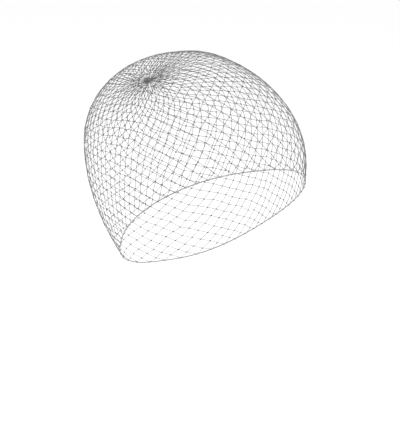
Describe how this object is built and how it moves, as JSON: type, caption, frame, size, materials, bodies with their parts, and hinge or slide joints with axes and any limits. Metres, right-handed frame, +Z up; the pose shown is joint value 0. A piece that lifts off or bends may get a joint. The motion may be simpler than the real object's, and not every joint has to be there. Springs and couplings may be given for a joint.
{
  "type": "hairnet",
  "caption": "Mesh hairnet in its worn form: a diamond-mesh net cap that covers the hair, gathered at the back, with a thin elastic cord round its sloping edge.",
  "frame": {"origin": "middle of the opening that the head goes into, on the plane of the elastic edge", "axes": "+Z up on an upright head, -Y towards the face, +X towards the wearer's left"},
  "size_m": [0.1564, 0.2088, 0.1876],
  "materials": {
    "net_thread": "fine knotted nylon thread, soft sheen",
    "edge_elastic": "thin covered elastic, light grey, soft sheen"
  },
  "bodies": {
    "root": {"net_cap": "net_thread", "edge_cord": "edge_elastic"}
  },
  "joints": []
}
